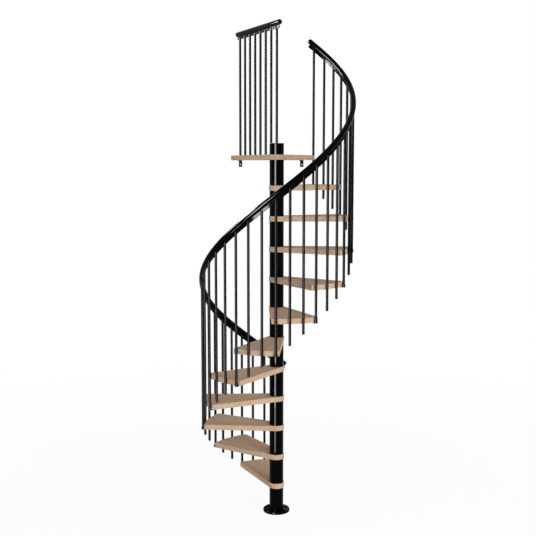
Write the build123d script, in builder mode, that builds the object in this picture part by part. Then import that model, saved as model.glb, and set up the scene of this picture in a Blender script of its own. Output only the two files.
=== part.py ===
from build123d import *
from math import acos, atan2, cos, degrees, hypot, pi, radians, sin, tan
import os

os.makedirs("parts", exist_ok=True)

# A spiral stair that climbs anticlockwise round a steel column, seen from above.
# Eleven beech treads and a beech landing are threaded on the column between steel spacers.
# The origin is the centre of the base flange's underside, on the floor.

# Flight
rise = 235.0
tread_count = 11
step_angle = 29.87
start_angle = 90.0

# Treads and landing
tread_thickness = 40.0
tread_front_lap = 3.15
tread_rear_lap = 2.55
tread_edge_chamfer = 2.5
tread_corner_round = 5.0
hub_r = 60.0
landing_front_lap = 1.75
landing_side_angle = 116.7
landing_side_length = 730.0

# Column
column_r = 55.0
spacer_wall = 3.0
spacer_disc = 6.0
pole_r = 30.0
pole_wall = 4.0
pole_clearance = 0.5
pole_seat_depth = 6.0
cap_height = 86.0
cap_lid = 6.0
cap_edge_round = 3.0
pole_top_room = 20.0

# Base flange
flange_r = 105.0
flange_thickness = 18.0
flange_edge_round = 6.0
anchor_count = 6
anchor_circle_r = 81.0
anchor_hole_r = 5.5
anchor_angle = 20.0

# Balusters
baluster_r = 10.0
baluster_length = 1133.0
baluster_circle_r = 580.0
balusters_per_step = 3
baluster_drop = 2.3
baluster_end_chamfer = 3.5
baluster_tread_gap = 0.5
baluster_bar_gap = 0.3
baluster_tube_gap = 4.0

# Feet that hold the corner balusters under the treads, and the first one on the floor
foot_width = 27.0
foot_thickness = 4.0
foot_reach = 16.0
foot_socket_gap = 0.3
foot_cup_r = 14.0
foot_cup_height = 13.0
floor_foot_r = 24.0
floor_foot_thickness = 9.0

# Handrail tube, the flat bar under it, and the caps on its ends
handrail_r = 20.0
handrail_start_lap = 6.9
handrail_end_lap = 3.5
bar_height = 23.0
bar_thickness = 8.0
bar_tube_gap = 0.3
bar_end_reach = 12.0
cap_length = 14.0
cap_nose_round = 12.0

# Landing rail
landing_rail_height = 985.0
landing_baluster_count = 8
landing_baluster_pitch = 94.8
landing_rail_overhang = 42.0
landing_bar_overhang = 40.0

# Brackets that fix the landing to the edge of the upper floor
bracket_width = 28.0
bracket_thickness = 4.0
bracket_drop = 55.0
bracket_leg = 45.0
bracket_hole_r = 4.5
bracket_hole_drop = 35.0
bracket_front_inset = 106.0
bracket_side_inset = 86.0

# Sizes that follow from these
tread_reach = baluster_circle_r - baluster_r - baluster_tread_gap
landing_z = rise * (tread_count + 1)
landing_front_angle = start_angle + step_angle * tread_count - landing_front_lap
baluster_angle = step_angle / balusters_per_step
baluster_rise = rise / balusters_per_step
baluster_hang = tread_thickness + baluster_drop
helix_pitch = rise * 360 / step_angle
helix_slope = atan2(helix_pitch, 2 * pi * baluster_circle_r)
bar_depth = handrail_r + bar_tube_gap + bar_height / 2
handrail_above_end = handrail_r / cos(helix_slope) + baluster_tube_gap
handrail_height = baluster_length - baluster_hang + handrail_above_end

# The slot in each baluster's top, through which the flat bar passes, sloping on the flight
slot_width = bar_thickness + 2 * baluster_bar_gap
slot_run = 2 * (baluster_r + baluster_bar_gap)
bar_dip = baluster_r * tan(helix_slope) + bar_height / 2 / cos(helix_slope)
slot_depth = bar_depth / cos(helix_slope) + bar_dip + baluster_bar_gap - handrail_above_end
landing_slot_depth = bar_depth + bar_height / 2 + baluster_bar_gap - handrail_r - baluster_tube_gap


def polar(radius, angle):
    """A point on the floor plan, from its distance to the column's axis and its angle."""
    return (radius * cos(radians(angle)), radius * sin(radians(angle)))


def tangent_turn(radius):
    """The angle between a corner and the point where its edge touches the hub's circle."""
    return degrees(acos(hub_r / radius))


def board_edges(board):
    """The outer edges of a board's top and bottom faces."""
    faces = board.faces().sort_by(Axis.Z)
    return faces[-1].outer_wire().edges() + faces[0].outer_wire().edges()


def turned_plane(angle, height):
    """A level plane on the column's axis, with its X turned to the given angle."""
    x_direction = Vector(*polar(1.0, angle))
    return Plane(origin=(0, 0, height), x_dir=x_direction, z_dir=(0, 0, 1))


# Base flange, with a seat for the pole and the anchor holes
with BuildPart() as base_flange:
    Cylinder(flange_r, flange_thickness, align=(Align.CENTER, Align.CENTER, Align.MIN))
    fillet(base_flange.faces().sort_by(Axis.Z)[-1].edges(), flange_edge_round)
    with BuildSketch(Plane.XY.offset(flange_thickness)):
        Circle(pole_r + pole_clearance)
    extrude(amount=-pole_seat_depth, mode=Mode.SUBTRACT)
    with BuildSketch(Plane.XY):
        with PolarLocations(anchor_circle_r, anchor_count, start_angle=anchor_angle):
            Circle(anchor_hole_r)
    extrude(amount=flange_thickness, mode=Mode.SUBTRACT)
base_flange.part.label = "base_flange"
export_step(base_flange.part, "parts/base_flange.step")

# The pole that everything is threaded on
pole_bottom = flange_thickness - pole_seat_depth
pole_top = landing_z + cap_height - cap_lid - pole_top_room
with BuildPart() as centre_pole:
    with BuildSketch(Plane.XY.offset(pole_bottom)):
        Circle(pole_r)
        Circle(pole_r - pole_wall, mode=Mode.SUBTRACT)
    extrude(amount=pole_top - pole_bottom)
centre_pole.part.label = "centre_pole"
export_step(centre_pole.part, "parts/centre_pole.step")

# Spacers between the treads: a tube with a centring disc in each end
for number in range(1, tread_count + 2):
    spacer_bottom = flange_thickness if number == 1 else rise * (number - 1)
    spacer_top = rise * number - tread_thickness
    bore_r = pole_r + pole_clearance
    inner_r = column_r - spacer_wall
    with BuildPart() as spacer:
        with BuildSketch(Plane.XZ):
            with BuildLine():
                Polyline(
                    (bore_r, spacer_bottom),
                    (column_r, spacer_bottom),
                    (column_r, spacer_top),
                    (bore_r, spacer_top),
                    (bore_r, spacer_top - spacer_disc),
                    (inner_r, spacer_top - spacer_disc),
                    (inner_r, spacer_bottom + spacer_disc),
                    (bore_r, spacer_bottom + spacer_disc),
                    close=True,
                )
            make_face()
        revolve(axis=Axis.Z)
    spacer.part.label = f"spacer_{number:02d}"
    export_step(spacer.part, f"parts/spacer_{number:02d}.step")

# The sleeve above the landing, closed by its lid
with BuildPart() as column_cap:
    Cylinder(column_r, landing_z + cap_height, align=(Align.CENTER, Align.CENTER, Align.MIN))
    with BuildSketch(Plane.XY):
        Circle(column_r)
    extrude(amount=landing_z, mode=Mode.SUBTRACT)
    with BuildSketch(Plane.XY.offset(landing_z)):
        Circle(column_r - spacer_wall)
    extrude(amount=cap_height - cap_lid, mode=Mode.SUBTRACT)
    fillet(column_cap.faces().sort_by(Axis.Z)[-1].edges(), cap_edge_round)
column_cap.part.label = "column_cap"
export_step(column_cap.part, "parts/column_cap.step")

# Treads: a wedge between two straight edges that touch the round hub, with a concentric outer edge
for number in range(1, tread_count + 1):
    front = start_angle + step_angle * (number - 1) - tread_front_lap
    rear = start_angle + step_angle * number + tread_rear_lap
    turn = tangent_turn(tread_reach)
    with BuildPart() as tread:
        with BuildSketch(Plane.XY.offset(rise * number - tread_thickness)):
            with BuildLine():
                outer_edge = CenterArc((0, 0), tread_reach, front, rear - front)
                rear_edge = Line(outer_edge @ 1, polar(hub_r, rear + turn))
                hub_back = polar(hub_r, (front + rear) / 2 + 180)
                hub_edge = ThreePointArc(rear_edge @ 1, hub_back, polar(hub_r, front - turn))
                Line(hub_edge @ 1, outer_edge @ 0)
            corners = make_face().vertices().sort_by_distance((0, 0, rise * number))
            fillet(corners[-2:], tread_corner_round)
            Circle(pole_r + pole_clearance, mode=Mode.SUBTRACT)
        extrude(amount=tread_thickness)
        chamfer(board_edges(tread), tread_edge_chamfer)
    tread.part.label = f"tread_{number:02d}"
    export_step(tread.part, f"parts/tread_{number:02d}.step")

# Landing: its front edge is a tread's, its side edge touches the hub, its outer edge is straight
front_corner = polar(tread_reach, landing_front_angle)
side_hub_point = polar(hub_r, landing_side_angle + 90)
side_run = polar(landing_side_length, landing_side_angle)
side_corner = (side_hub_point[0] + side_run[0], side_hub_point[1] + side_run[1])
with BuildPart() as landing:
    with BuildSketch(Plane.XY.offset(landing_z - tread_thickness)):
        with BuildLine():
            front_hub_angle = landing_front_angle - tangent_turn(tread_reach) - 360
            side_hub_angle = landing_side_angle + 90 - 360
            side_edge = Line(side_corner, side_hub_point)
            hub_back = polar(hub_r, (front_hub_angle + side_hub_angle) / 2)
            hub_edge = ThreePointArc(side_edge @ 1, hub_back, polar(hub_r, front_hub_angle))
            front_edge = Line(hub_edge @ 1, front_corner)
            Line(front_edge @ 1, side_edge @ 0)
        corners = make_face().vertices().sort_by_distance((0, 0, landing_z))
        fillet(corners[-2:], tread_corner_round)
        Circle(pole_r + pole_clearance, mode=Mode.SUBTRACT)
    extrude(amount=tread_thickness)
    chamfer(board_edges(landing), tread_edge_chamfer)
landing.part.label = "landing"
export_step(landing.part, "parts/landing.step")


def baluster_bottom(index):
    """The height of a baluster's lower end; the first one stands in its foot on the floor."""
    return max(baluster_rise * index - baluster_hang, floor_foot_thickness - baluster_drop)


def baluster_top(index):
    """The height of a baluster's upper end, just under the handrail."""
    return baluster_rise * index - baluster_hang + baluster_length


# Balusters, three to each tread, and one more at the very start
for number in range(1, tread_count + 1):
    last = balusters_per_step * number
    first = 0 if number == 1 else last - balusters_per_step + 1
    with BuildPart() as balusters:
        for index in range(first, last + 1):
            bottom = baluster_bottom(index)
            with BuildSketch(Plane.XY.offset(bottom)):
                with Locations(polar(baluster_circle_r, start_angle + baluster_angle * index)):
                    Circle(baluster_r)
            extrude(amount=baluster_top(index) - bottom)
        chamfer(balusters.edges().filter_by(GeomType.CIRCLE), baluster_end_chamfer)
        for index in range(first, last + 1):
            slot_angle = start_angle + baluster_angle * index
            with BuildSketch(turned_plane(slot_angle, baluster_top(index))):
                with Locations((baluster_circle_r, 0)):
                    Rectangle(slot_width, slot_run)
            extrude(amount=-slot_depth, mode=Mode.SUBTRACT)
    balusters.part.label = f"balusters_{number:02d}"
    export_step(balusters.part, f"parts/balusters_{number:02d}.step")

# Feet: a plate under each tread's rear corner with a cup round the baluster, and a floor foot
with BuildPart() as baluster_feet:
    for number in range(1, tread_count + 1):
        foot_top = rise * number - tread_thickness
        foot_plane = turned_plane(start_angle + step_angle * number, foot_top)
        with BuildSketch(foot_plane):
            with Locations((baluster_circle_r - foot_reach / 2, 0)):
                SlotCenterToCenter(foot_reach, foot_width)
        extrude(amount=-foot_thickness)
        with BuildSketch(foot_plane):
            with Locations((baluster_circle_r, 0)):
                Circle(foot_cup_r)
                Circle(baluster_r + foot_socket_gap, mode=Mode.SUBTRACT)
            Circle(baluster_circle_r - baluster_r, mode=Mode.SUBTRACT)
        extrude(amount=foot_cup_height)
    with BuildSketch(Plane.XY):
        with Locations(polar(baluster_circle_r, start_angle)):
            Circle(floor_foot_r)
    extrude(amount=floor_foot_thickness)
    for number in range(0, tread_count + 1):
        socket_top = rise * number - tread_thickness if number else floor_foot_thickness
        with BuildSketch(Plane.XY.offset(socket_top)):
            with Locations(polar(baluster_circle_r, start_angle + step_angle * number)):
                Circle(baluster_r + foot_socket_gap)
        extrude(amount=-baluster_drop, mode=Mode.SUBTRACT)
baluster_feet.part.label = "baluster_feet"
export_step(baluster_feet.part, "parts/baluster_feet.step")

# Handrail: a round tube swept along the helix
rail_turn = step_angle * tread_count + handrail_start_lap + handrail_end_lap
rail_start_z = handrail_height - rise * handrail_start_lap / step_angle
rail_start_angle = start_angle - handrail_start_lap
rail_climb = rise * rail_turn / step_angle


def rail_helix(height, climb):
    """A helix over the balusters that starts at the given height, ahead of the first of them."""
    with BuildLine() as path:
        Helix(helix_pitch, climb, baluster_circle_r, center=(0, 0, height))
    return path.edge().rotate(Axis.Z, rail_start_angle)


rail_path = rail_helix(rail_start_z, rail_climb)
with BuildPart() as handrail:
    with BuildSketch(Plane(origin=rail_path @ 0, z_dir=rail_path % 0)):
        Circle(handrail_r)
    sweep(path=rail_path, is_frenet=True)
handrail.part.label = "handrail"
export_step(handrail.part, "parts/handrail.step")


def landing_point(along, height):
    """A point on the landing rail's line, which starts on the column's axis."""
    return (*polar(along, landing_side_angle), height)


# Landing rail: the tube, then the flat bars of both rails
landing_rail_z = landing_z + landing_rail_height
landing_run = landing_baluster_pitch * (landing_baluster_count - 1)
line_direction = landing_point(1.0, 0.0)
aside_direction = (*polar(1.0, landing_side_angle - 90), 0.0)
tube_start = landing_point(-landing_rail_overhang, landing_rail_z)
tube_plane = Plane(origin=tube_start, x_dir=aside_direction, z_dir=line_direction)
landing_tube_length = landing_run + 2 * landing_rail_overhang
with BuildPart() as landing_handrail:
    with BuildSketch(tube_plane):
        Circle(handrail_r)
    extrude(amount=landing_tube_length)
landing_handrail.part.label = "landing_handrail"
export_step(landing_handrail.part, "parts/landing_handrail.step")

bar_climb = rail_climb + bar_end_reach * sin(helix_slope)
bar_path = rail_helix(rail_start_z - bar_depth / cos(helix_slope), bar_climb)
bar_x_direction = Vector(*polar(1.0, rail_start_angle))
with BuildPart() as rail_flat_bars:
    with BuildSketch(Plane(origin=bar_path @ 0, x_dir=bar_x_direction, z_dir=bar_path % 0)):
        Rectangle(bar_thickness, bar_height)
    sweep(path=bar_path, is_frenet=True)
    bar_start = landing_point(-landing_bar_overhang, landing_rail_z - bar_depth)
    with BuildSketch(Plane(origin=bar_start, x_dir=aside_direction, z_dir=line_direction)):
        Rectangle(bar_thickness, bar_height)
    extrude(amount=landing_run + 2 * landing_bar_overhang)
rail_flat_bars.part.label = "rail_flat_bars"
export_step(rail_flat_bars.part, "parts/rail_flat_bars.step")

# Caps on the four ends of the two tubes
with BuildPart() as handrail_end_caps:
    end_planes = [
        Plane(origin=rail_path @ 0, z_dir=(rail_path % 0) * -1),
        Plane(origin=rail_path @ 1, z_dir=rail_path % 1),
        Plane(origin=tube_start, z_dir=Vector(line_direction) * -1),
        Plane(origin=tube_plane.offset(landing_tube_length).origin, z_dir=line_direction),
    ]
    for end_plane in end_planes:
        with BuildSketch(end_plane):
            Circle(handrail_r)
        extrude(amount=cap_length)
    outer_faces = handrail_end_caps.faces().filter_by(GeomType.PLANE)
    for end_plane in end_planes:
        outer_face = outer_faces.sort_by_distance(end_plane.offset(cap_length).origin)[0]
        fillet(outer_face.edges(), cap_nose_round)
handrail_end_caps.part.label = "handrail_end_caps"
export_step(handrail_end_caps.part, "parts/handrail_end_caps.step")

# Landing balusters: the first stands on the column, the others on the landing
landing_baluster_top = landing_rail_z - handrail_r - baluster_tube_gap
slots_start = landing_point(-slot_run / 2, landing_baluster_top)
with BuildPart() as landing_balusters:
    for index in range(landing_baluster_count):
        bottom = landing_z + (0 if index else cap_height)
        with BuildSketch(Plane.XY.offset(bottom)):
            with Locations(landing_point(landing_baluster_pitch * index, 0)):
                Circle(baluster_r)
        extrude(amount=landing_baluster_top - bottom)
    tops = landing_balusters.edges().filter_by(GeomType.CIRCLE)
    chamfer(tops.group_by(Axis.Z)[-1], baluster_end_chamfer)
    with BuildSketch(Plane(origin=slots_start, x_dir=aside_direction, z_dir=line_direction)):
        Rectangle(slot_width, landing_slot_depth, align=(Align.CENTER, Align.MIN))
    extrude(amount=landing_run + slot_run, mode=Mode.SUBTRACT)
landing_balusters.part.label = "landing_balusters"
export_step(landing_balusters.part, "parts/landing_balusters.step")

# Brackets under the landing's outer edge: a leg under the board, and one down the floor's edge
edge_x = side_corner[0] - front_corner[0]
edge_y = side_corner[1] - front_corner[1]
edge_length = hypot(edge_x, edge_y)
edge_direction = (edge_x / edge_length, edge_y / edge_length, 0)
board_bottom = landing_z - tread_thickness
with BuildPart() as floor_brackets:
    for along in (bracket_front_inset, edge_length - bracket_side_inset):
        corner_x = front_corner[0] + edge_direction[0] * along
        corner_y = front_corner[1] + edge_direction[1] * along
        end_plane = Plane(
            origin=(corner_x, corner_y, board_bottom),
            x_dir=(edge_direction[1], -edge_direction[0], 0),
            z_dir=(-edge_direction[0], -edge_direction[1], 0),
        )
        with BuildSketch(end_plane.offset(-bracket_width / 2)):
            with BuildLine():
                Polyline(
                    (0, 0),
                    (0, -bracket_drop),
                    (-bracket_thickness, -bracket_drop),
                    (-bracket_thickness, -bracket_thickness),
                    (-bracket_leg, -bracket_thickness),
                    (-bracket_leg, 0),
                    close=True,
                )
            make_face()
        extrude(amount=bracket_width)
        hole_plane = Plane(
            origin=(corner_x, corner_y, board_bottom - bracket_hole_drop),
            x_dir=edge_direction,
            z_dir=(edge_direction[1], -edge_direction[0], 0),
        )
        with BuildSketch(hole_plane):
            Circle(bracket_hole_r)
        extrude(amount=-bracket_thickness, mode=Mode.SUBTRACT)
floor_brackets.part.label = "floor_brackets"
export_step(floor_brackets.part, "parts/floor_brackets.step")
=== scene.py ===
from math import acos, cos, degrees, pi, radians, sin

import bpy
import numpy as np
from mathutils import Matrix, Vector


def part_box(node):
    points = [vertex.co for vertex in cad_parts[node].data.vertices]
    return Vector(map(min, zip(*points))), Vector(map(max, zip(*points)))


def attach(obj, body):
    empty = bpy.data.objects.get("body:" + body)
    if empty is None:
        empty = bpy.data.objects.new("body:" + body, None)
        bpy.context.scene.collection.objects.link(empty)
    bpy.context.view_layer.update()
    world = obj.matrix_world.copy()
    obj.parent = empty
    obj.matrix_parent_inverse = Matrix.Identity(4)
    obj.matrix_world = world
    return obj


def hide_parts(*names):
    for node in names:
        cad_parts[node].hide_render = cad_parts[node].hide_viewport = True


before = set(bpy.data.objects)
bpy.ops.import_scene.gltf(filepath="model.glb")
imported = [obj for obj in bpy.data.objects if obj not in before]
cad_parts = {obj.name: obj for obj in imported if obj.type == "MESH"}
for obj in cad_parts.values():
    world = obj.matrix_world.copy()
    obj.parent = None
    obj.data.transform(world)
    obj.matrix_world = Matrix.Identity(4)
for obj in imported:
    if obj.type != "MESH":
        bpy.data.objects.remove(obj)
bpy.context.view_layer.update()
print("frame:", len(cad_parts), "nodes")

# Lengths are in metres and angles in degrees. The stair climbs anticlockwise round the Z axis.
stair = {
    "treads": 11,
    "rise": 0.235,
    "stepAngle": 29.87,
    "startAngle": 90.0,
    "balustersPerStep": 3,
    "balusterCircle": 0.580,
    "balusterRadius": 0.010,
    "poleGap": 0.0005,
    "balusterGap": 0.0005,
}
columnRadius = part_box("spacer_02")[1].x
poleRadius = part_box("centre_pole")[1].x + stair["poleGap"]
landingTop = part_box("landing")[1].z
treadNumbers = range(1, stair["treads"] + 1)
flightBalusters = stair["balustersPerStep"] * stair["treads"] + 1
up = np.array([0, 0, 1.0])


# Surfaces

nearAxis = 0.002  # a turned profile ends this far from its axis, and skin closes the middle
nearlyTop = 88  # a rounded end stops at this angle, just before it would run level


def direction(angle):
    # the level unit vector at an angle from the X axis; an array of angles gives a row for each
    turn = np.radians(angle)
    return np.stack([np.cos(turn), np.sin(turn), np.zeros_like(turn)], -1)


def skin(rings, loop=False):
    # four-sided faces between neighbouring closed rings; loop joins the last ring to the first,
    # and without it each end is closed by triangles to the middle of its ring
    count, around = rings.shape[:2]
    index = np.arange(count * around).reshape(count, around)
    here = index if loop else index[:-1]
    there = np.roll(index, -1, 0) if loop else index[1:]
    quads = np.stack([here, np.roll(here, -1, 1), np.roll(there, -1, 1), there], -1).reshape(-1, 4)
    if loop:
        return rings.reshape(-1, 3), quads, np.zeros((0, 3), int)
    points = np.vstack([rings.reshape(-1, 3), rings[0].mean(0), rings[-1].mean(0)])
    first, last = index[0], index[-1]
    firstMiddle = np.full(around, count * around)
    triangles = np.vstack([
        np.stack([np.roll(first, -1), first, firstMiddle], -1),
        np.stack([last, np.roll(last, -1), firstMiddle + 1], -1),
    ])
    return points, quads, triangles


def roundedProfile(corners, radii, steps=4):
    # a closed chain of corners, each replaced by an arc of its radius that touches both sides:
    # middle + (sin((1 - share) * sweep) * start + sin(share * sweep) * end) / sin(sweep),
    # where start and end go from the arc's middle to its ends; a radius of 0 keeps the corner
    corners = np.array(corners, float)
    chain = []
    for i, (corner, radius) in enumerate(zip(corners, radii)):
        if radius == 0:
            chain.append(corner[None])
            continue
        before = corners[i - 1] - corner
        after = corners[(i + 1) % len(corners)] - corner
        before, after = before / np.linalg.norm(before), after / np.linalg.norm(after)
        half = np.arccos(np.clip(before @ after, -1, 1)) / 2
        inwards = (before + after) / np.linalg.norm(before + after)
        middle = corner + inwards * radius / np.sin(half)
        start = corner + before * radius / np.tan(half) - middle
        end = corner + after * radius / np.tan(half) - middle
        share = np.linspace(0, 1, steps + 1)[:, None]
        sweep = np.pi - 2 * half
        spoke = np.sin((1 - share) * sweep) * start + np.sin(share * sweep) * end
        chain.append(middle + spoke / np.sin(sweep))
    return np.vstack(chain)


def roundedEnd(radius, height, bend, steps):
    # the rim of a turned end, from its side inwards:
    # (radius - bend + bend * cos, height - bend + bend * sin)
    turn = np.radians(np.linspace(0, nearlyTop, steps))
    return np.stack([radius - bend + bend * np.cos(turn), height - bend + bend * np.sin(turn)], -1)


def turned(profile, around, origin=(0, 0, 0), axis=(0, 0, 1), side=(1, 0, 0)):
    # a profile of (radius, height) turned about an axis:
    # origin + radius * (cos * side + sin * across) + height * axis
    axis, side = np.array(axis, float), np.array(side, float)
    across = np.cross(axis, side)
    angle = np.linspace(0, 2 * np.pi, around, endpoint=False)
    circle = np.cos(angle)[:, None] * side + np.sin(angle)[:, None] * across
    radius, height = profile[:, 0, None, None], profile[:, 1, None, None]
    return np.array(origin, float) + radius * circle + height * axis


def carried(run, section):
    # a section of (u, v) carried along a run: path + u * outward + v * upward
    path, _, outward, upward = run
    u, v = section[:, 0, None], section[:, 1, None]
    return path[:, None] + u * outward[:, None] + v * upward[:, None]


def addPiece(name, surfaces, slot, replaces=(), boardPlace=None, sharpAbove=50):
    # joins the surfaces into one mesh whose object stays at the origin, in the finish of its slot,
    # and lets it ride on the stair; sharpAbove is the angle from which two faces meet in an edge
    points, faces, offset = [], [], 0
    for surface in surfaces:
        points.append(surface[0])
        for part in surface[1:]:
            faces += (part + offset).tolist()
        offset += len(surface[0])
    mesh = bpy.data.meshes.new(name)
    mesh.from_pydata(np.vstack(points).tolist(), [], faces)
    if boardPlace is not None:
        attribute = mesh.attributes.new("boardPlace", "FLOAT_VECTOR", "POINT")
        attribute.data.foreach_set("vector", boardPlace.astype(np.float32).ravel())
    mesh.shade_smooth()
    mesh.set_sharp_from_angle(angle=radians(sharpAbove))
    mesh.materials.append(finishes[slot])
    piece = bpy.data.objects.new(name, mesh)
    bpy.context.scene.collection.objects.link(piece)
    weighted = piece.modifiers.new("evenNormals", "WEIGHTED_NORMAL")
    weighted.keep_sharp = True
    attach(piece, "root")
    if replaces:
        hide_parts(*replaces)


# Shader maths

class Socket:
    # a node's output, on which sums and products are written as Python expressions
    def __init__(self, nodes, output):
        self.nodes, self.output = nodes, output

    def maths(self, operation, first, second=0.0, clamp=False):
        settings = {"operation": operation, "use_clamp": clamp}
        return self.nodes.add("Math", settings, {0: first, 1: second})

    def __add__(self, other):
        return self.maths("ADD", self, other)

    __radd__ = __add__

    def __sub__(self, other):
        return self.maths("SUBTRACT", self, other)

    def __rsub__(self, other):
        return self.maths("SUBTRACT", other, self)

    def __mul__(self, other):
        return self.maths("MULTIPLY", self, other)

    __rmul__ = __mul__

    def __truediv__(self, other):
        return self.maths("DIVIDE", self, other)

    def floor(self):
        return self.maths("FLOOR", self)

    def fraction(self):
        return self.maths("FRACT", self)

    def lower(self, other):
        return self.maths("MINIMUM", self, other)

    def clamped(self):
        return self.maths("ADD", self, 0.0, True)


class Nodes:
    # adds nodes to one tree: the type, then its settings, then the values or links of its sockets
    def __init__(self, tree):
        self.tree = tree

    def add(self, kind, settings=None, inputs=None, output=0):
        node = self.tree.nodes.new("ShaderNode" + kind)
        for key, value in (settings or {}).items():
            if key == "stops":
                while len(node.color_ramp.elements) < len(value):
                    node.color_ramp.elements.new(0.5)
                for element, (place, colour) in zip(node.color_ramp.elements, value):
                    element.position, element.color = place, (*colour, 1.0)
            else:
                setattr(node, key, value)
        for key, value in (inputs or {}).items():
            self.plug(node.inputs[key], value)
        return Socket(self, node.outputs[output])

    def plug(self, socket, value):
        if isinstance(value, Socket):
            self.tree.links.new(value.output, socket)
        else:
            socket.default_value = value


def newFinish(name, constants):
    # a material whose Principled shader takes the given constants on its own sockets
    material = bpy.data.materials.new(name)
    material.use_nodes = True
    nodes = Nodes(material.node_tree)
    shader = material.node_tree.nodes["Principled BSDF"]
    for key, value in constants.items():
        shader.inputs[key].default_value = value
    return material, nodes, shader


def linear(red, green, blue):
    # a colour as it is seen on a screen, 0 to 255, as the light that it stands for
    seen = np.array([red, green, blue]) / 255
    light = np.where(seen <= 0.04045, seen / 12.92, ((seen + 0.055) / 1.055) ** 2.4)
    return tuple(float(x) for x in light)


# Beech: glued staves side by side, each with its own tone, grain and growth rings.
# A depth says how much its pattern lightens or darkens the wood, and a relief how much of the
# bump is its own.
beechLook = {
    "staveWidth": 0.045,
    "staveLength": 0.42,
    "rowShift": 7.0,
    "tones": [
        (0.0, (199, 170, 145)),
        (0.35, (208, 182, 157)),
        (0.65, (204, 176, 149)),
        (1.0, (200, 170, 140)),
    ],
    "logShift": 3.0,
    "streakScale": (2.5, 90.0, 90.0),
    "streakDepth": 0.22,
    "ringScale": (1.6, 22.0, 22.0),
    "ringDepth": 0.07,
    "fleckScale": (160.0, 1100.0, 1100.0),
    "fleckAbove": 0.58,
    "fleckDepth": 0.9,
    "jointWidth": 0.0004,
    "jointDepth": 0.12,
    "gloss": 0.005,
    "roughness": 0.58,
    "roughnessSpread": 0.2,
    "streakRelief": 0.6,
    "fleckRelief": 0.4,
    "jointRelief": 0.5,
    "reliefStrength": 0.25,
    "reliefHeight": 0.0002,
}


def makeBeech(look):
    # colour = the stave's tone * shade, where shade = 1 + (pattern - 0.5) * depth for streaks and
    # rings, less the flecks and the glued joints
    material, nodes, shader = newFinish("beech", {"Specular IOR Level": look["gloss"]})
    place = nodes.add("Attribute", {"attribute_name": "boardPlace"}, output="Vector")
    along = nodes.add("SeparateXYZ", None, {0: place}, "X")
    across = nodes.add("SeparateXYZ", None, {0: place}, "Y")
    row = across / look["staveWidth"]
    rowNoise = nodes.add("TexWhiteNoise", {"noise_dimensions": "1D"}, {"W": row.floor()}, "Value")
    run = along / look["staveLength"] + rowNoise * look["rowShift"]
    stave = nodes.add("CombineXYZ", None, {"X": row.floor(), "Y": run.floor(), "Z": 0.5})

    def staveNoise(output):
        return nodes.add("TexWhiteNoise", {"noise_dimensions": "3D"}, {"Vector": stave}, output)

    tones = [(at, linear(*colour)) for at, colour in look["tones"]]
    tone = nodes.add("ValToRGB", {"stops": tones}, {"Fac": staveNoise("Value")}, "Color")
    # the grain's own place: each stave starts somewhere else in the same endless log
    shift = nodes.add("VectorMath", {"operation": "SCALE"},
                      {0: staveNoise("Color"), "Scale": look["logShift"]})
    inLog = nodes.add("VectorMath", {"operation": "ADD"}, {0: place, 1: shift})

    def grain(kind, scale, values, settings=None):
        # a pattern in the log, drawn out along the grain
        drawnOut = nodes.add("Mapping", None, {"Vector": inLog, "Scale": scale})
        return nodes.add(kind, settings, {"Vector": drawnOut, "Scale": 1.0, **values}, "Fac")

    streaks = grain("TexNoise", look["streakScale"], {"Detail": 4.0, "Roughness": 0.6})
    rings = grain("TexWave", look["ringScale"],
                  {"Distortion": 2.5, "Detail": 2.0, "Detail Scale": 0.6},
                  {"wave_type": "RINGS", "rings_direction": "X"})
    flecks = grain("TexNoise", look["fleckScale"], {"Detail": 1.0})
    rowEdge = row.fraction().lower(1.0 - row.fraction()) * look["staveWidth"]
    endEdge = run.fraction().lower(1.0 - run.fraction()) * look["staveLength"]
    joint = 1.0 - (rowEdge.lower(endEdge) / look["jointWidth"]).clamped()
    shade = 1.0 + (streaks - 0.5) * look["streakDepth"] + (rings - 0.5) * look["ringDepth"]
    shade = shade - (flecks - look["fleckAbove"]).clamped() * look["fleckDepth"]
    shade = shade - joint * look["jointDepth"]
    colour = nodes.add("VectorMath", {"operation": "SCALE"}, {0: tone, "Scale": shade})
    nodes.plug(shader.inputs["Base Color"], colour)
    roughness = look["roughness"] + (streaks - 0.5) * look["roughnessSpread"]
    nodes.plug(shader.inputs["Roughness"], roughness)
    relief = streaks * look["streakRelief"] + flecks * look["fleckRelief"]
    relief = relief - joint * look["jointRelief"]
    bump = nodes.add("Bump", None, {"Strength": look["reliefStrength"],
                                    "Distance": look["reliefHeight"], "Height": relief})
    nodes.plug(shader.inputs["Normal"], bump)
    return material


# Black coats: a dark base with a faint grey bloom, which also makes the gloss a little uneven
coatBloom = {"scale": 6.0, "detail": 3.0, "darkBelow": 0.35, "paleAbove": 0.75}
coatLooks = {
    "black_column": {
        "dark": (0.0008, 0.0008, 0.0009), "pale": (0.0014, 0.0014, 0.0015),
        "gloss": 0.025, "roughness": 0.06, "roughnessSpread": 0.02,
    },
    "black_handrail": {
        "dark": (0.0006, 0.0006, 0.0007), "pale": (0.0012, 0.0012, 0.0013),
        "gloss": 0.025, "roughness": 0.07, "roughnessSpread": 0.02,
    },
    "black_baluster": {
        "dark": (0.0014, 0.0014, 0.0015), "pale": (0.0024, 0.0024, 0.0026),
        "gloss": 0.0185, "roughness": 0.30, "roughnessSpread": 0.04,
    },
    "black_steel": {
        "dark": (0.0008, 0.0008, 0.0009), "pale": (0.0014, 0.0014, 0.0015),
        "gloss": 0.025, "roughness": 0.10, "roughnessSpread": 0.03,
    },
    "black_bracket": {
        "dark": (0.0008, 0.0008, 0.0009), "pale": (0.0014, 0.0014, 0.0015),
        "gloss": 0.005, "roughness": 0.42, "roughnessSpread": 0.04,
    },
    "black_plastic": {
        "dark": (0.0012, 0.0012, 0.0013), "pale": (0.0022, 0.0022, 0.0024),
        "gloss": 0.035, "roughness": 0.28, "roughnessSpread": 0.06,
    },
}

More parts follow.
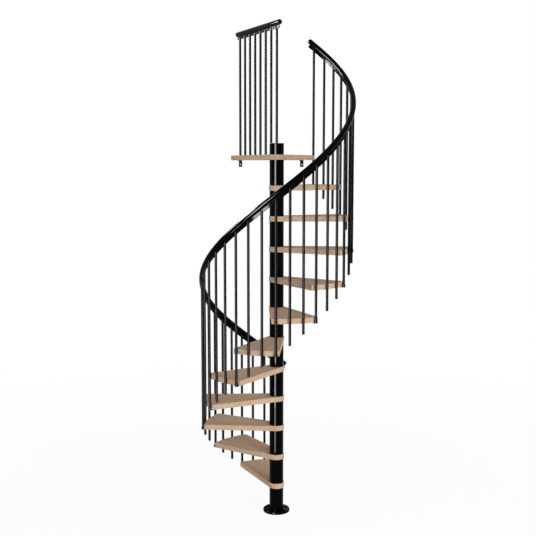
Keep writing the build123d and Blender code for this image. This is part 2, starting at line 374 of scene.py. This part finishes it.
# Zinc-plated steel: dull and slightly mottled
zincMottle = {"scale": 60.0, "detail": 4.0, "darkBelow": 0.3, "paleAbove": 0.7}
zincLook = {
    "dark": (0.36, 0.37, 0.38), "pale": (0.50, 0.51, 0.52),
    "roughness": 0.32, "roughnessSpread": 0.2,
}


def makeMottled(name, constants, mottle, look):
    # the colour goes from dark to pale with one noise: ramp(noise),
    # and the roughness with the same one: roughness + (noise - 0.5) * roughnessSpread
    material, nodes, shader = newFinish(name, constants)
    place = nodes.add("TexCoord", output="Object")
    values = {"Vector": place, "Scale": mottle["scale"], "Detail": mottle["detail"]}
    noise = nodes.add("TexNoise", None, values, "Fac")
    stops = [(mottle["darkBelow"], look["dark"]), (mottle["paleAbove"], look["pale"])]
    colour = nodes.add("ValToRGB", {"stops": stops}, {"Fac": noise}, "Color")
    nodes.plug(shader.inputs["Base Color"], colour)
    roughness = look["roughness"] + (noise - 0.5) * look["roughnessSpread"]
    nodes.plug(shader.inputs["Roughness"], roughness)
    return material


finishes = {
    "beech": makeBeech(beechLook),
    "zinc_steel": makeMottled("zinc_steel", {"Metallic": 1.0}, zincMottle, zincLook),
}
for finishName, look in coatLooks.items():
    gloss = {"Specular IOR Level": look["gloss"]}
    finishes[finishName] = makeMottled(finishName, gloss, coatBloom, look)
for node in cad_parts.values():
    for materialSlot in node.material_slots:
        materialSlot.material = finishes[materialSlot.material.name.split(".")[0]]
# the brackets' flat faces shone pale, so they have a duller coat of their own
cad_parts["floor_brackets"].material_slots[0].material = finishes["black_bracket"]
print("finishes:", ", ".join(finishes))


# Treads and landing. A lap is the turn by which a board reaches past its own step.
board = {
    "hub": 0.060,
    "frontLap": 3.15,
    "rearLap": 2.55,
    "cornerRound": 0.005,
    "cornerSteps": 4,
    "edgeRound": 0.0028,
    "edgeRoundSteps": 4,
    "landingFrontLap": 1.75,
    "landingSideAngle": 116.7,
    "landingSide": 0.730,
    "landingCornerSteps": 6,
    "arcSteps": 22,
    "edgeSteps": 13,
    "nextInPanel": (1.37, 0.613, 0.0),
    "landingInPanel": (20.0, 9.0, 0.0),
}
treadReach = stair["balusterCircle"] - stair["balusterRadius"] - stair["balusterGap"]
touchTurn = degrees(acos(board["hub"] / treadReach))


def stepStart(step):
    # the angle at which a step starts, which is where the one before it ends
    return stair["startAngle"] + stair["stepAngle"] * step


def arcNormals(first, last, steps):
    # level unit vectors over an arc, anticlockwise
    return direction(np.linspace(first, last, steps + 1))


def hubEdge(normalAngle, turns):
    # points along a straight edge that touches the hub: a run of hub * tan(turn) from where
    # it touches
    start, along = direction(normalAngle) * board["hub"], direction(normalAngle + 90)
    return start + board["hub"] * np.tan(np.radians(turns))[:, None] * along


def between(low, high, count):
    # evenly spaced values, without the two ends
    return np.linspace(low, high, count + 2)[1:-1]


def treadOutline(front, rear):
    # hub arc, front edge, front corner, concentric outer edge, rear corner and rear edge,
    # each as its points and their outward normals
    radius, steps = board["cornerRound"], board["edgeSteps"]
    lean = degrees(acos((board["hub"] - radius) / (treadReach - radius)))
    frontNormal, rearNormal = front - touchTurn, rear + touchTurn
    frontMiddle, rearMiddle = frontNormal + lean, rearNormal - lean
    turns = between(0, lean, steps)
    backNormals = arcNormals(rearNormal, frontNormal + 360, board["arcSteps"])
    frontNormals = arcNormals(frontNormal, frontMiddle, board["cornerSteps"])
    outerNormals = arcNormals(frontMiddle, rearMiddle, board["arcSteps"])
    rearNormals = arcNormals(rearMiddle, rearNormal, board["cornerSteps"])
    points = [
        backNormals * board["hub"],
        hubEdge(frontNormal, turns),
        direction(frontMiddle) * (treadReach - radius) + frontNormals[:-1] * radius,
        outerNormals * treadReach,
        direction(rearMiddle) * (treadReach - radius) + rearNormals[1:] * radius,
        hubEdge(rearNormal, -turns[::-1]),
    ]
    normals = [
        backNormals,
        np.tile(direction(frontNormal), (steps, 1)),
        frontNormals[:-1],
        outerNormals,
        rearNormals[1:],
        np.tile(direction(rearNormal), (steps, 1)),
    ]
    return np.vstack(points), np.vstack(normals)


def landingOutline():
    # hub arc, front edge, front corner, straight outer edge, side corner and side edge,
    # each as its points and their outward normals
    radius, steps, side = board["cornerRound"], board["edgeSteps"], board["landingSide"]
    front = stepStart(stair["treads"]) - board["landingFrontLap"] - 360
    frontNormal, sideNormal = front - touchTurn, board["landingSideAngle"] + 90
    frontCorner = direction(front) * treadReach
    sideCorner = direction(sideNormal) * board["hub"] + direction(board["landingSideAngle"]) * side
    outerRun = sideCorner - frontCorner
    outerNormal = degrees(np.arctan2(outerRun[1], outerRun[0])) - 90

    def cornerMiddle(corner, first, second):
        # the corner moved inwards until it is one radius from both edges
        bisector = direction(first) + direction(second)
        return corner - bisector * radius / (1 + direction(first) @ direction(second))

    frontMiddle = cornerMiddle(frontCorner, frontNormal, outerNormal)
    sideMiddle = cornerMiddle(sideCorner, outerNormal, sideNormal)
    backNormals = arcNormals(sideNormal, frontNormal + 360, board["arcSteps"])
    frontNormals = arcNormals(frontNormal, outerNormal, board["landingCornerSteps"])
    sideNormals = arcNormals(outerNormal, sideNormal, board["landingCornerSteps"])
    frontTurns = between(0, touchTurn, steps)
    sideTurns = between(0, degrees(np.arctan(side / board["hub"])), steps)
    outerStart = frontMiddle + frontNormals[-1] * radius
    outerEnd = sideMiddle + sideNormals[0] * radius
    points = [
        backNormals * board["hub"],
        hubEdge(frontNormal, frontTurns),
        frontMiddle + frontNormals * radius,
        outerStart + between(0, 1, steps)[:, None] * (outerEnd - outerStart),
        sideMiddle + sideNormals * radius,
        hubEdge(sideNormal, -sideTurns[::-1]),
    ]
    normals = [
        backNormals,
        np.tile(direction(frontNormal), (steps, 1)),
        frontNormals,
        np.tile(direction(outerNormal), (steps, 1)),
        sideNormals,
        np.tile(direction(sideNormal), (steps, 1)),
    ]
    return np.vstack(points), np.vstack(normals)


def boardSurface(outline, normals, bottom, top):
    # the outline carried round the board's section: bore, underside, rounded lower edge,
    # rounded upper edge, top and bore; a rounded edge moves the outline inwards
    # by radius * (1 - sin) below and radius * (1 - cos) above
    radius = board["edgeRound"]
    polar = np.degrees(np.arctan2(outline[:, 1], outline[:, 0]))
    bore = direction(polar) * poleRadius

    def ring(inwards, height):
        return outline - normals * radius * inwards + up * height

    quarter = np.radians(np.linspace(0, 90, board["edgeRoundSteps"] + 1))
    lower = [ring(1 - np.sin(turn), bottom + radius * (1 - np.cos(turn))) for turn in quarter]
    upper = [ring(1 - np.cos(turn), top - radius * (1 - np.sin(turn))) for turn in quarter]
    return skin(np.array([bore + up * bottom, *lower, *upper, bore + up * top]), loop=True)


def addBoard(name, node, outline, normals, grainAngle, startInPanel):
    # a board whose boardPlace is each point in the panel that it was sawn from:
    # along the grain, across it and up
    low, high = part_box(node)
    surface = boardSurface(outline, normals, low.z, high.z)
    points = surface[0]
    along, across = direction(grainAngle), direction(grainAngle + 90)
    place = np.stack([points @ along, points @ across, points[:, 2] - low.z], -1) + startInPanel
    addPiece(name, [surface], "beech", [node], place)


for number in treadNumbers:
    front = stepStart(number - 1) - board["frontLap"]
    rear = stepStart(number) + board["rearLap"]
    startInPanel = np.array(board["nextInPanel"]) * number
    addBoard(f"treadBoard_{number:02d}", f"tread_{number:02d}", *treadOutline(front, rear),
             (front + rear) / 2, startInPanel)
addBoard("landingBoard", "landing", *landingOutline(), board["landingSideAngle"],
         np.array(board["landingInPanel"]))
print("boards: treads and landing")


# Column: spacers between the boards, and the closed sleeve above the landing
column = {"around": 96, "endRound": 0.0012, "capRound": 0.003}


def spacerRings(low, high):
    # a tube's section, from the pole out and back, with both outer corners rounded
    corners = [(poleRadius, low), (columnRadius, low), (columnRadius, high), (poleRadius, high)]
    profile = roundedProfile(corners, [0, column["endRound"], column["endRound"], 0])
    return turned(profile, column["around"])


for number in range(1, stair["treads"] + 2):
    node = f"spacer_{number:02d}"
    low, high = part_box(node)
    surface = skin(spacerRings(low.z, high.z), loop=True)
    addPiece(f"spacerTube_{number:02d}", [surface], "black_column", [node])

low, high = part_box("column_cap")
capCorners = [(nearAxis, low.z), (columnRadius, low.z), (columnRadius, high.z), (nearAxis, high.z)]
capProfile = roundedProfile(capCorners, [0, 0, column["capRound"], 0])
addPiece("columnTopSleeve", [skin(turned(capProfile, column["around"]))], "black_column",
         ["column_cap"])
print("column: spacers and top sleeve")


# Balusters: tubes with a domed plug in the lower end and a rounded upper end.
# The seam's heights are above the dome, and hang is how far the baluster at the end of a step
# reaches below its tread's top.
baluster = {
    "length": 1.133,
    "hang": 0.0423,
    "around": 24,
    "plug": 0.0055,
    "domeFrom": 86,
    "domeSteps": 7,
    "seamDepth": 0.0004,
    "seamHeights": (0.0015, 0.0019, 0.0023, 0.0027),
    "topRound": 0.003,
    "topSteps": 5,
    "onLanding": 8,
    "landingPitch": 0.0948,
}


def balusterRings(bottom, top, centre):
    # a dome (radius * cos, plug * (1 - sin)), the seam above it, the side and the rounded top,
    # turned about the baluster's middle
    radius, plug = stair["balusterRadius"], baluster["plug"]
    quarter = np.radians(np.linspace(baluster["domeFrom"], 0, baluster["domeSteps"]))
    dome = np.stack([radius * np.cos(quarter), plug * (1 - np.sin(quarter))], -1)
    seamRadius = radius - baluster["seamDepth"] * np.array([0, 1, 1, 0])
    seam = np.stack([seamRadius, plug + np.array(baluster["seamHeights"])], -1)
    upper = roundedEnd(radius, top, baluster["topRound"], baluster["topSteps"])
    profile = np.vstack([dome + [0, bottom], seam + [0, bottom], upper, [[nearAxis, top]]])
    return turned(profile, baluster["around"], (*centre[:2], 0))


def balusterPlace(index):
    # the middle and the lower end of a baluster: a third of a step's turn and rise for each
    angle = stair["startAngle"] + stair["stepAngle"] / stair["balustersPerStep"] * index
    bottom = stair["rise"] / stair["balustersPerStep"] * index - baluster["hang"]
    return direction(angle) * stair["balusterCircle"], bottom


for number in treadNumbers:
    # the first tread also has the baluster at the stair's start, which ends on its floor foot
    last = stair["balustersPerStep"] * number
    first = 0 if number == 1 else last - stair["balustersPerStep"] + 1
    node = f"balusters_{number:02d}"
    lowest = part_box(node)[0].z
    surfaces = []
    for index in range(first, last + 1):
        centre, bottom = balusterPlace(index)
        rings = balusterRings(max(bottom, lowest), bottom + baluster["length"], centre)
        surfaces.append(skin(rings))
    addPiece(f"balusterTubes_{number:02d}", surfaces, "black_baluster", [node])

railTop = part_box("landing_balusters")[1].z
alongRail = direction(board["landingSideAngle"])
surfaces = []
for index in range(baluster["onLanding"]):
    # the first stands on the column's top, and the others on the landing
    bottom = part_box("column_cap")[1].z if index == 0 else landingTop
    centre = alongRail * baluster["landingPitch"] * index
    surfaces.append(skin(balusterRings(bottom, railTop, centre)))
addPiece("landingBalusterTubes", surfaces, "black_baluster", ["landing_balusters"])
print("balusters:", flightBalusters, "on the flight and", baluster["onLanding"], "on the landing")


# Handrail: a tube on a helix, the flat bar under it, and the straight ones above the landing.
# A lap is the turn by which the tube goes past the first or the last baluster.
rail = {
    "tubeRadius": 0.020,
    "barHeight": 0.023,
    "barThickness": 0.008,
    "barRound": 0.0012,
    "barGap": 0.0003,
    "startLap": 6.9,
    "endLap": 3.5,
    "barEndReach": 0.012,
    "overhang": 0.042,
    "barOverhang": 0.040,
    "capLength": 0.014,
    "capRound": 0.012,
    "capRoundSteps": 9,
    "seamDepth": 0.0008,
    "seamHeights": (0.0, 0.0006, 0.0010),
    "around": 40,
    "stepsAlong": 360,
}
climb = stair["rise"] / radians(stair["stepAngle"])
slope = np.arctan2(climb, stair["balusterCircle"])


def helix(heightAtStart, reach=0.0):
    # path = circle * (cos, sin), rising by climb for each radian; its tangent, the outward
    # normal, and the product of those two
    endLap = rail["endLap"] + degrees(reach * np.cos(slope) / stair["balusterCircle"])
    lastTurn = stair["stepAngle"] * stair["treads"] + endLap
    turn = np.linspace(-rail["startLap"], lastTurn, rail["stepsAlong"])
    outward = direction(stair["startAngle"] + turn)
    path = outward * stair["balusterCircle"]
    path[:, 2] = heightAtStart + climb * np.radians(turn)
    tangent = direction(stair["startAngle"] + turn + 90) * stair["balusterCircle"]
    tangent[:, 2] = climb
    tangent /= np.linalg.norm(tangent, axis=1)[:, None]
    return path, tangent, outward, np.cross(tangent, outward)


def straightRun(start, end):
    # a level path between two points, with the same three directions at both
    path = np.array([start, end])
    tangent = (path[1] - path[0]) / np.linalg.norm(path[1] - path[0])
    outward = np.cross(tangent, up)
    directions = (tangent, outward, np.cross(tangent, outward))
    return path, *[np.tile(one, (2, 1)) for one in directions]


def landingRun(overhang, height):
    # the straight run above the landing's balusters, past the first and the last of them
    lift = np.array([0, 0, height])
    lastPlace = baluster["landingPitch"] * (baluster["onLanding"] - 1)
    return straightRun(lift - alongRail * overhang, lift + alongRail * (lastPlace + overhang))


def capSurface(origin, axis, side):
    # a plug in the tube's end: a thin seam, a short collar, then a flat dome, turned about
    # the tube's axis
    radius, length = rail["tubeRadius"], rail["capLength"]
    seamRadius = radius - rail["seamDepth"] * np.array([1, 1, 0])
    seam = np.stack([seamRadius, rail["seamHeights"]], -1)
    dome = roundedEnd(radius, length, rail["capRound"], rail["capRoundSteps"])
    profile = np.vstack([seam, dome, [[nearAxis, length]]])
    return skin(turned(profile, rail["around"], origin, axis, side))


circle = np.linspace(0, 2 * np.pi, rail["around"], endpoint=False)
tubeSection = rail["tubeRadius"] * np.stack([np.cos(circle), np.sin(circle)], -1)
halfThick, halfHigh = rail["barThickness"] / 2, rail["barHeight"] / 2
barCorners = [
    (halfThick, -halfHigh), (halfThick, halfHigh), (-halfThick, halfHigh), (-halfThick, -halfHigh),
]
barSection = roundedProfile(barCorners, [rail["barRound"]] * 4)

# the tube's lowest point is at its start, its radius below the middle and square to the slope
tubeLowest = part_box("handrail")[0].z
tubeStart = tubeLowest + rail["tubeRadius"] * np.cos(slope) + climb * radians(rail["startLap"])
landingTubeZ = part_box("landing_handrail")[1].z - rail["tubeRadius"]
barDrop = rail["tubeRadius"] + rail["barGap"] + rail["barHeight"] / 2
barStart = tubeStart - barDrop / np.cos(slope)

tubePath = helix(tubeStart)
barPath = helix(barStart, rail["barEndReach"])
landingTube = landingRun(rail["overhang"], landingTubeZ)
landingBar = landingRun(rail["barOverhang"], landingTubeZ - barDrop)
tubes = [skin(carried(run, tubeSection)) for run in (tubePath, landingTube)]
bars = [skin(carried(run, barSection)) for run in (barPath, landingBar)]
addPiece("handrailTube", tubes[:1], "black_handrail", ["handrail"])
addPiece("landingRailTube", tubes[1:], "black_handrail", ["landing_handrail"])
addPiece("railBars", bars, "black_steel", ["rail_flat_bars"])
caps = []
for path, tangent, outward, _ in (tubePath, landingTube):
    caps.append(capSurface(path[0], -tangent[0], outward[0]))
    caps.append(capSurface(path[-1], tangent[-1], outward[-1]))
addPiece("railEndCaps", caps, "black_plastic", ["handrail_end_caps"])
print("rails: tubes, flat bars and end caps")


# Fixings: anchor bolts in the flange, and the screws of the balusters and the flat bars.
# The cone cuts back a bolt head's corners: its heights are below the head's top, and its shares
# are of boltFlat. The recess is in shares of a screw head's radius and height. screwBite is how
# far a head's seat lies inside the baluster, and screwSink how far its side goes on inwards.
fixing = {
    "anchors": 6,
    "anchorCircle": 0.081,
    "anchorAngle": 20.0,
    "boltFlat": 0.0085,
    "boltHeight": 0.0065,
    "boltAround": 48,
    "coneHeights": (0.0012, 0.0004),
    "coneShares": (1.02, 0.93),
    "washerRadius": 0.0115,
    "washerHeight": 0.0016,
    "washerEdge": 0.0003,
    "screwRadius": 0.0042,
    "screwHeight": 0.0022,
    "screwAround": 18,
    "screwDome": 62,
    "screwDomeSteps": 5,
    "screwSink": 0.0008,
    "screwBite": 0.0001,
    "recess": ((0.42, 1.0), (0.38, 0.45), (0.05, 0.42)),
    "sharpAbove": 35,
}
screwReach = stair["balusterRadius"] - fixing["screwBite"]


def boltSurface(origin):
    # a washer, then a six-sided head: flat / cos of the angle from the nearest flat,
    # cut back by a cone at the top
    flat, washer = fixing["boltFlat"], fixing["washerHeight"]
    edge, washerRadius = fixing["washerEdge"], fixing["washerRadius"]
    angle = np.linspace(0, 2 * np.pi, fixing["boltAround"], endpoint=False)
    fromFlat = (angle + np.pi / 6) % (np.pi / 3) - np.pi / 6
    hexagon = flat / np.cos(fromFlat)
    ones = np.ones_like(angle)
    top = washer + fixing["boltHeight"]
    rows = [
        (ones * (washerRadius - edge), 0.0),
        (ones * washerRadius, edge),
        (ones * washerRadius, washer - edge),
        (ones * (washerRadius - edge), washer),
        (hexagon, washer),
        (hexagon, top - fixing["coneHeights"][0]),
        (np.minimum(hexagon, flat * fixing["coneShares"][0]), top - fixing["coneHeights"][1]),
        (ones * flat * fixing["coneShares"][1], top),
    ]
    radius = np.array([row[0] for row in rows])
    height = np.array([row[1] for row in rows])[:, None] * ones
    rings = np.stack([radius * np.cos(angle), radius * np.sin(angle), height], -1)
    return skin(rings + np.array(origin))


def screwSurface(origin, axis):
    # a low domed head (radius * cos, height * sin) with a round recess, turned about its axis
    radius, height, dome = fixing["screwRadius"], fixing["screwHeight"], fixing["screwDome"]
    turn = np.radians(np.linspace(0, dome, fixing["screwDomeSteps"]))
    head = np.stack([radius * np.cos(turn), height * np.sin(turn) / sin(radians(dome))], -1)
    recess = np.array(fixing["recess"]) * [radius, height]
    profile = np.vstack([[[radius, -fixing["screwSink"]]], head, recess])
    return skin(turned(profile, fixing["screwAround"], origin, axis, np.cross(axis, up)))


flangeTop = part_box("base_flange")[1].z
anchorAngles = fixing["anchorAngle"] + 360 / fixing["anchors"] * np.arange(fixing["anchors"])
anchorSpots = direction(anchorAngles) * fixing["anchorCircle"]
bolts = [boltSurface((*spot[:2], flangeTop)) for spot in anchorSpots]
addPiece("anchorBolts", bolts, "black_steel", sharpAbove=fixing["sharpAbove"])

screws = []
treadLow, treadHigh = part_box("tread_01")
treadHalf = (treadHigh.z - treadLow.z) / 2
for index in range(flightBalusters):
    # one screw from outside into each tread that holds the baluster, and one into the flat bar;
    # a baluster at the end of a step is held by its own tread and by the next one
    centre, bottom = balusterPlace(index)
    outward = centre / np.linalg.norm(centre)
    tread = -(-index // stair["balustersPerStep"])
    held = {tread} if index % stair["balustersPerStep"] else {tread, tread + 1}
    for number in sorted(held & set(treadNumbers)):
        spot = centre + outward * screwReach
        spot[2] = stair["rise"] * number - treadHalf
        screws.append(screwSurface(spot, outward))
    barSpot = centre - outward * screwReach
    turn = stair["stepAngle"] / stair["balustersPerStep"] * index
    barSpot[2] = barStart + climb * radians(turn)
    screws.append(screwSurface(barSpot, -outward))
sideways = direction(board["landingSideAngle"] - 90)
for index in range(baluster["onLanding"]):
    spot = alongRail * baluster["landingPitch"] * index + sideways * screwReach
    spot[2] = landingTubeZ - barDrop
    screws.append(screwSurface(spot, sideways))
addPiece("balusterScrews", screws, "black_steel", sharpAbove=fixing["sharpAbove"])
print("fixings:", len(bolts), "bolts and", len(screws), "screws")


# Camera: its two angles are in radians
view = {
    "place": (-0.0352, -6.9496, 2.7300),
    "pitchDown": 0.1122,
    "turn": 0.00454,
    "lens": 60.58,
    "sensorWidth": 36.0,
}
cameraData = bpy.data.cameras.new("camera")
cameraData.lens, cameraData.sensor_width = view["lens"], view["sensorWidth"]
camera = bpy.data.objects.new("camera", cameraData)
camera.location = view["place"]
camera.rotation_euler = (pi / 2 - view["pitchDown"], 0, view["turn"])
bpy.context.scene.collection.objects.link(camera)
bpy.context.scene.camera = camera
bpy.context.scene.view_settings.view_transform = "Standard"


# Floor and background: both are plain white to the camera and in gloss, but the floor mixes in
# shadowShare of its own lit surface, which fades out over fadeRun from fadeStart
studio = {
    "ambient": 0.49,
    "floorReach": 60.0,
    "floorDrop": 0.0005,
    "floorColour": 0.82,
    "shadowShare": 0.06,
    "fadeStart": 2.0,
    "fadeRun": 4.0,
}


def backgroundRays(nodes):
    # the rays that meet the plain background: the camera's own, and those from gloss and glass
    names = ("Is Camera Ray", "Is Glossy Ray", "Is Transmission Ray")
    return [nodes.add("LightPath", output=name) for name in names]


world = bpy.data.worlds.new("studio")
world.use_nodes = True
bpy.context.scene.world = world
nodes = Nodes(world.node_tree)
cameraRay, glossyRay, glassRay = backgroundRays(nodes)
seen = (cameraRay + glossyRay + glassRay).clamped()
background = world.node_tree.nodes["Background"]
background.inputs["Color"].default_value = (1, 1, 1, 1)
nodes.plug(background.inputs["Strength"], studio["ambient"] + seen * (1 - studio["ambient"]))

floorMesh = bpy.data.meshes.new("floor")
reach, floorZ = studio["floorReach"], -studio["floorDrop"]
floorCorners = [(x * reach, y * reach, floorZ) for x, y in ((-1, -1), (1, -1), (1, 1), (-1, 1))]
floorMesh.from_pydata(floorCorners, [], [(0, 1, 2, 3)])
floor = bpy.data.objects.new("floor", floorMesh)
bpy.context.scene.collection.objects.link(floor)
floorMaterial, nodes, shader = newFinish("floor", {"Roughness": 1.0, "Specular IOR Level": 0.0})
grey = studio["floorColour"]
shader.inputs["Base Color"].default_value = (grey, grey, grey, 1)
place = nodes.add("TexCoord", output="Object")
distance = nodes.add("VectorMath", {"operation": "LENGTH"}, {0: place}, "Value")
far = ((distance - studio["fadeStart"]) / studio["fadeRun"]).clamped()
cameraRay, glossyRay, glassRay = backgroundRays(nodes)
share = 1 - studio["shadowShare"] + far * studio["shadowShare"]
plain = (cameraRay * share + glossyRay + glassRay).clamped()
white = nodes.add("Emission", None, {"Color": (1, 1, 1, 1), "Strength": 1.0})
mixed = nodes.add("MixShader", None, {0: plain, 1: Socket(nodes, shader.outputs[0]), 2: white})
nodes.plug(floorMaterial.node_tree.nodes["Material Output"].inputs["Surface"], mixed)
floorMesh.materials.append(floorMaterial)


def addLamp(name, place, aim, size, power, lights):
    # a soft panel that the camera doesn't see; lights is "surfaces" or "gloss", and it gives
    # no light to the other
    lampData = bpy.data.lights.new(name, "AREA")
    lampData.shape, lampData.size, lampData.size_y = "RECTANGLE", size[0], size[1]
    lampData.energy = power
    lamp = bpy.data.objects.new(name, lampData)
    forward = np.array(aim, float) - np.array(place, float)
    forward /= np.linalg.norm(forward)
    lamp.location = place
    lamp.rotation_euler = (np.arccos(-forward[2]), 0, np.arctan2(-forward[0], forward[1]))
    lamp.visible_camera = False
    lamp.visible_diffuse = lights == "surfaces"
    lamp.visible_glossy = lights == "gloss"
    bpy.context.scene.collection.objects.link(lamp)


def around(azimuth, distance, height):
    # a place round the stair: azimuth 0 is the camera's side, and minus is to its left
    turn = radians(azimuth)
    return (distance * sin(turn), -distance * cos(turn), height)


# The keys light all surfaces. The three strips draw one bright line down the column's left,
# and the panels draw the bright line and patch on the upper handrail.
lamps = {
    "keyRight": {
        "place": around(40, 7.5, 3.0), "aim": (0, 0, 1.7),
        "size": (3.0, 2.5), "power": 275, "lights": "surfaces",
    },
    "keyLeft": {
        "place": around(-35, 7.5, 3.0), "aim": (0, 0, 1.7),
        "size": (3.0, 2.5), "power": 95, "lights": "surfaces",
    },
    "leftStrip": {
        "place": around(-22, 5.0, 2.01), "aim": (0, 0, 2.01),
        "size": (1.85, 3.98), "power": 4300, "lights": "gloss",
    },
    "leftStripMiddle": {
        "place": around(-22, 1.5, 0.635), "aim": (0, 0, 0.635),
        "size": (0.555, 0.35), "power": 91, "lights": "gloss",
    },
    "leftStripFoot": {
        "place": around(-22, 1.5, 0.24), "aim": (0, 0, 0.24),
        "size": (0.555, 0.44), "power": 58, "lights": "gloss",
    },
    "railPanel": {
        "place": (-2.9, 0.45, 3.9), "aim": (0, 0.45, 3.9),
        "size": (1.1, 1.6), "power": 912, "lights": "gloss",
    },
    "railPanelHigh": {
        "place": around(-115, 3.0, 4.3), "aim": (0, 0, 4.3),
        "size": (1.06, 0.8), "power": 533, "lights": "gloss",
    },
}
for name, lamp in lamps.items():
    addLamp(name, **lamp)
print("studio: camera, floor and lamps")
